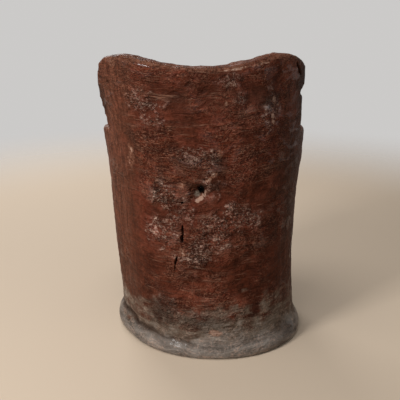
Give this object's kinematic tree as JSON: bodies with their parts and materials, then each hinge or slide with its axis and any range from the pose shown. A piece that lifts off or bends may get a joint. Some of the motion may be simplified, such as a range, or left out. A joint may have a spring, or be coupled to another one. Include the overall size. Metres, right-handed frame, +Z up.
{
  "type": "tree trunk chair",
  "caption": "Dugout armchair hewn from one hollow log, with a flared foot, a tall wrapped back, low arms, and a plank seat nailed on bearers inside the hollow.",
  "frame": {"origin": "on the floor, under the middle of the trunk's widest outline", "axes": "+Z up; -Y is the open front, where a sitter's legs hang; +Y is the tall back; +X is the sitter's left"},
  "size_m": [0.5492, 0.5176, 0.8],
  "materials": {
    "trunk_wood": "old waxed, dark reddish brown, glossy on the worn ridges and grey at the foot",
    "seat_wood": "old sawn planks, worn and waxed",
    "bearer_wood": "rough hewn, unfinished",
    "forged_iron": "dark forged, dull"
  },
  "bodies": {
    "root": {"trunk": "trunk_wood", "seat_plank_front": "seat_wood", "seat_plank_middle": "seat_wood", "seat_plank_rear": "seat_wood", "seat_bearer_right": "bearer_wood", "seat_bearer_left": "bearer_wood", "seat_nails": "forged_iron", "bearer_nails": "forged_iron"}
  },
  "joints": []
}
